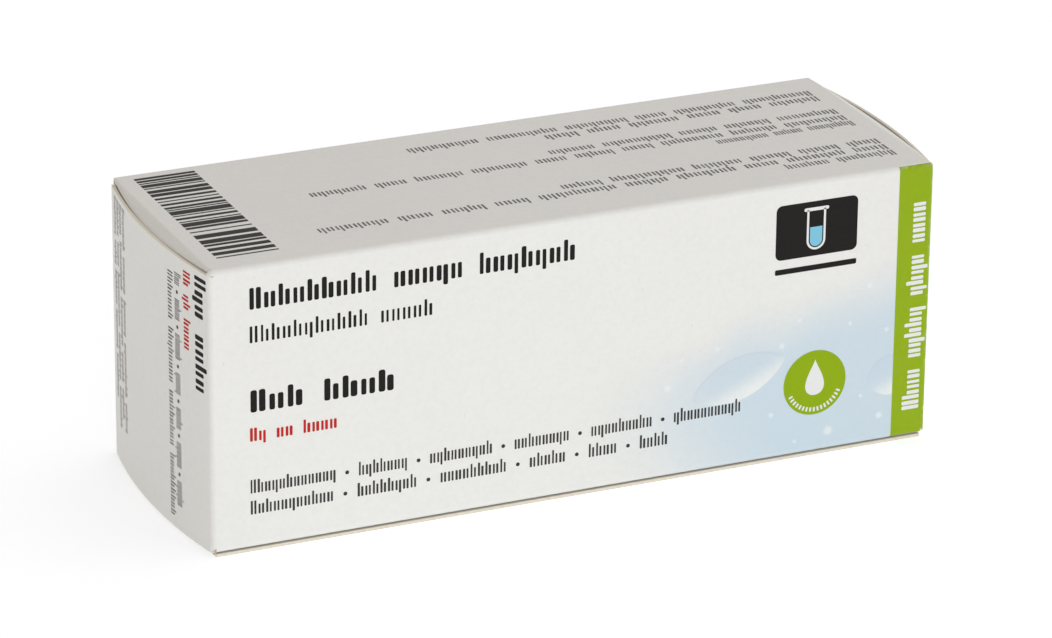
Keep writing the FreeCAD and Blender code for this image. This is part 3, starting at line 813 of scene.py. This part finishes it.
def drop_outline(x, y, half_width, half_height, steps=48):
    """A water drop with its point up."""
    pointed, full = 1.6, 1.25
    outline = []
    for step in range(steps):
        angle = 2 * math.pi * step / steps
        aside = half_width * full * math.sin(angle) * math.sin(angle / 2) ** pointed
        outline.append((x + aside, y + half_height * math.cos(angle)))
    return outline


def vial_outline(x, top, bottom, half_width, wall):
    """A test vial seen from the side: an upright U with a round bottom."""
    inner = half_width - wall
    centre = bottom + half_width
    outline = [(x - half_width, top)] + arc_points(x, centre, half_width, 180, 360, 16)
    outline += [(x + half_width, top), (x + inner, top)]
    outline += arc_points(x, centre, inner, 0, -180, 16) + [(x - inner, top)]
    return outline


def print_front(inks):
    """Lines from the left margin, and a dark panel with a rule under it at the right."""
    start = -48.5
    heading = block_type((start, 35.25), 0, 47.8, 3.1, 11, words=[9, 5, 7], ink=0.6)
    printed("front_heading", on_front, heading, inks["black"], "carton")
    second = block_type((start, 30.45), 0, 26.8, 2.4, 12, words=[11, 5], ink=0.46)
    printed("front_second_heading", on_front, second, inks["black"], "carton")
    title = block_type((start, 20.4), 0, 21.2, 3.2, 13, words=[3, 4], ink=0.66)
    printed("front_title", on_front, title, inks["black"], "carton")
    red = block_type((start, 16.2), 0, 12.8, 1.95, 14, words=[2, 2, 4])
    printed("front_red_line", on_front, red, inks["red"], "carton")
    upper = block_type((start, 8.6), 0, 73.4, 2.0, 15, words=[12, 7, 9, 8, 9, 10], bullets=True,
                       ink=0.54)
    lower = block_type((start, 5.5), 0, 62.2, 2.0, 16, words=[11, 8, 9, 5, 4, 4], bullets=True,
                       ink=0.54)
    printed("front_small_lines", on_front, upper + lower, inks["charcoal"], "carton")

    left, right, low, high = 29.6, 42.2, 30.3, 38.4
    panel = rounded(left, right, low, high, 0.9, 6)
    printed("front_dark_panel", on_front, [panel], inks["black"], "carton")
    rule = rounded(left, right, 28.15, 28.95, 0.2)
    printed("front_dark_rule", on_front, [rule], inks["black"], "carton")


def print_symbols(inks):
    """Plain water symbols: a vial on the dark panel, a drop over a curved row of dashes on a green
    disc."""
    overlap = 0.001

    def over_ink(u, v, height):
        return on_front(u, v, height + overlap)

    x, top, bottom, half_width, wall = 35.8, 37.2, 31.2, 1.45, 0.32
    vial = vial_outline(x, top, bottom, half_width, wall)
    lip = rounded(x - 1.9, x + 1.9, top - 0.2, top + 0.3, 0.2)
    printed("vial_symbol", over_ink, [vial, lip], inks["white"], "carton")
    fluid_level, gap = 34.6, 0.18
    inner = half_width - wall - gap
    fluid = [(x - inner, fluid_level), (x + inner, fluid_level)]
    fluid += arc_points(x, bottom + half_width, inner, 0, -180, 16)
    printed("vial_fluid_symbol", over_ink, [fluid], inks["aqua"], "carton")

    disc_x, disc_z = 36.3, 11.1
    printed("green_disc", on_front, [circle(disc_x, disc_z, 4.85)], inks["green"], "carton")
    drop = drop_outline(disc_x, disc_z + 0.8, 1.7, 2.7)
    printed("drop_symbol", over_ink, [drop], inks["white"], "carton")
    near, far, half_dash, gaps = 3.75, 4.4, 0.14, 16
    dash = [(near, -half_dash), (near, half_dash), (far, half_dash), (far, -half_dash)]
    dashes = []
    for step in range(gaps + 1):
        turn = math.radians(205 + 130 * step / gaps)
        cosine, sine = math.cos(turn), math.sin(turn)
        dashes.append([(disc_x + out * cosine - aside * sine, disc_z + out * sine + aside * cosine)
                       for out, aside in dash])
    printed("disc_dashes", over_ink, dashes, inks["white"], "carton")


def print_band(inks):
    """A white line that reads upwards on the green band."""
    line = block_type((52.9, 4.4), 90, 31.6, 2.7, 17, words=[4, 5, 4, 4], ink=0.64)
    printed("band_line", on_front, line, inks["white"], "carton")


def print_top(inks):
    """A plain pattern of bars at the left and three groups of small grey lines, which read from
    behind."""
    chance = random.Random(21)
    thin, left, right, end = 0.34, -51.2, -42.3, 16.6
    y, bars = -15.0, []
    while y < end:
        width = thin * chance.choice((1, 1, 1, 2, 2, 3, 4))
        bars.append([(left, y), (right, y), (right, y + width), (left, y + width)])
        y += width + thin * chance.choice((1, 1, 2, 2, 3))
    printed("top_bars", on_top, bars, inks["charcoal"], "carton")
    lines = [
        # foot of the line, length
        (-12.5, 17.0), (-10.1, 86.0), (-7.6, 49.0), (0.2, 21.5), (2.7, 82.0), (5.4, 45.0),
        (11.2, 43.0), (13.6, 63.0),
    ]
    film = []
    for number, (foot, length) in enumerate(lines):
        film += block_type((50.8, foot), 180, length, 2.0, 30 + number, ink=0.46)
    printed("top_small_lines", on_top, film, inks["grey"], "carton")


def print_left_end(inks):
    """Lines that read downwards beside the front edge, and a paler block towards the back."""
    down = -90
    title = block_type((15.5, 40.2), down, 17.0, 2.9, 41, words=[3, 4])
    printed("left_title", on_left_end, title, inks["black"], "left_end")
    red = block_type((12.4, 39.7), down, 11.5, 1.9, 42, words=[2, 2, 4])
    printed("left_red_line", on_left_end, red, inks["red"], "left_end")
    small = block_type((9.8, 38.5), down, 34.2, 1.9, 43, words=[3, 5, 6, 5, 5, 6, 6], bullets=True,
                       ink=0.42)
    small += block_type((7.7, 38.2), down, 36.0, 1.6, 44, ink=0.4)
    printed("left_small_lines", on_left_end, small, inks["charcoal"], "left_end")
    pale = []
    lines = [
        # foot of the line, length
        (-10.9, 33.5), (-12.6, 32.0), (-14.3, 34.0), (-16.0, 30.0),
    ]
    for number, (foot, length) in enumerate(lines):
        pale += block_type((foot, 40.2), down, length, 1.35, 50 + number)
    printed("left_pale_block", on_left_end, pale, inks["pale_grey"], "left_end")


# ---------------------------------------------------------------- scene

def make_inks():
    colours = {
        "black": (0.012, 0.011, 0.010),
        "charcoal": (0.045, 0.043, 0.042),
        "grey": (0.17, 0.17, 0.175),
        "pale_grey": (0.36, 0.35, 0.35),
        "red": (0.50, 0.018, 0.015),
        "green": PRINT_GREEN,
        "white": (0.80, 0.81, 0.79),
        "aqua": (0.22, 0.55, 0.72),
    }
    return {name: make_ink(f"{name}_ink", colour) for name, colour in colours.items()}


def dress_cad_nodes():
    """The glue line and the strips keep their CAD shapes."""
    finishes = {"glue": make_glue(), "foil": make_foil(), "tablets": make_tablet()}
    for name, node in frame["nodes"].items():
        for word, material in finishes.items():
            if name.endswith(word) or word in name.split("_"):
                for slot in node.material_slots:
                    slot.material = material


def add_camera():
    """Long lens from the front left and above, tilted by half a degree."""
    lens, sensor = 191.67, 36.0
    place = Vector((-0.29611, -0.66194, 0.31563))
    target = Vector((0.00023, -0.00073, 0.01936))
    roll = math.radians(0.592)
    data = bpy.data.cameras.new("camera")
    data.lens = lens
    data.sensor_width = sensor
    data.clip_start = 0.01
    camera = bpy.data.objects.new("camera", data)
    turn = (target - place).to_track_quat("-Z", "Y").to_matrix().to_4x4()
    camera.matrix_world = Matrix.Translation(place) @ turn @ Matrix.Rotation(roll, 4, "Z")
    bpy.context.scene.collection.objects.link(camera)
    bpy.context.scene.camera = camera


def add_floor():
    shader = Shader("studio_floor", (0.90, 0.90, 0.90), 0.9, Emission_Strength=0.42)
    shader.surface.inputs["Emission Color"].default_value = (0.95, 1.0, 1.06, 1)
    shader.surface.inputs["Specular IOR Level"].default_value = 0.0
    shader.paint(shader.mix(shader.noise(400.0), (0.90, 0.90, 0.90), (0.89, 0.89, 0.89)))
    half = 3.0
    points = [(-half, -half, 0), (half, -half, 0), (half, half, 0), (-half, half, 0)]
    mesh = bpy.data.meshes.new("floor")
    mesh.from_pydata(points, [], [(0, 1, 2, 3)])
    mesh.materials.append(shader.material)
    floor = bpy.data.objects.new("floor", mesh)
    bpy.context.scene.collection.objects.link(floor)


def add_light():
    """A soft studio: daylight that is dim and warm on the left and bright on the right, and a
    large soft key at the front."""
    scene = bpy.context.scene
    scene.view_settings.view_transform = "Standard"
    world = bpy.data.worlds.new("studio")
    scene.world = world
    world.use_nodes = True
    nodes, links = world.node_tree.nodes, world.node_tree.links
    split = nodes.new("ShaderNodeSeparateXYZ")
    links.new(nodes.new("ShaderNodeTexCoord").outputs["Generated"], split.inputs[0])
    across = nodes.new("ShaderNodeMapRange")
    across.inputs["From Min"].default_value = -1.0
    links.new(split.outputs["X"], across.inputs["Value"])
    sky = nodes.new("ShaderNodeMix")
    sky.data_type = "RGBA"
    links.new(across.outputs["Result"], sky.inputs["Factor"])
    dim_side, bright_side = (0.22, 0.17, 0.12, 1), (1.09, 1.08, 1.10, 1)
    for number, colour in zip(MIX_COLOURS, (dim_side, bright_side)):
        sky.inputs[number].default_value = colour
    links.new(sky.outputs[MIX_RESULT], nodes["Background"].inputs["Color"])

    place, target = Vector((-0.30, -0.95, 0.42)), Vector((0, 0, 0.02))
    lamp = bpy.data.lights.new("key", "AREA")
    lamp.shape = "RECTANGLE"
    lamp.size, lamp.size_y = 0.9, 0.6
    lamp.energy = 2.3
    lamp.color = (0.96, 1.0, 1.02)
    key = bpy.data.objects.new("key", lamp)
    key.location = place
    key.rotation_euler = (target - place).to_track_quat("-Z", "Y").to_euler()
    scene.collection.objects.link(key)


def make_object():
    materials = [make_board_face(), make_board_inside(), make_board_edge(), make_front_print(),
                 make_green_face()]
    make_sleeve(materials)
    for side_name in SIDES:
        make_end_panel(side_name, materials)
        make_tuck_flap(side_name, materials)
        make_dust_flap(side_name, lambda z: z, materials)
        make_dust_flap(side_name, lambda z: HEIGHT - z, materials)
    inks = make_inks()
    print_front(inks)
    print_symbols(inks)
    print_band(inks)
    print_top(inks)
    print_left_end(inks)
    dress_cad_nodes()


add_camera()
add_floor()
add_light()
make_object()
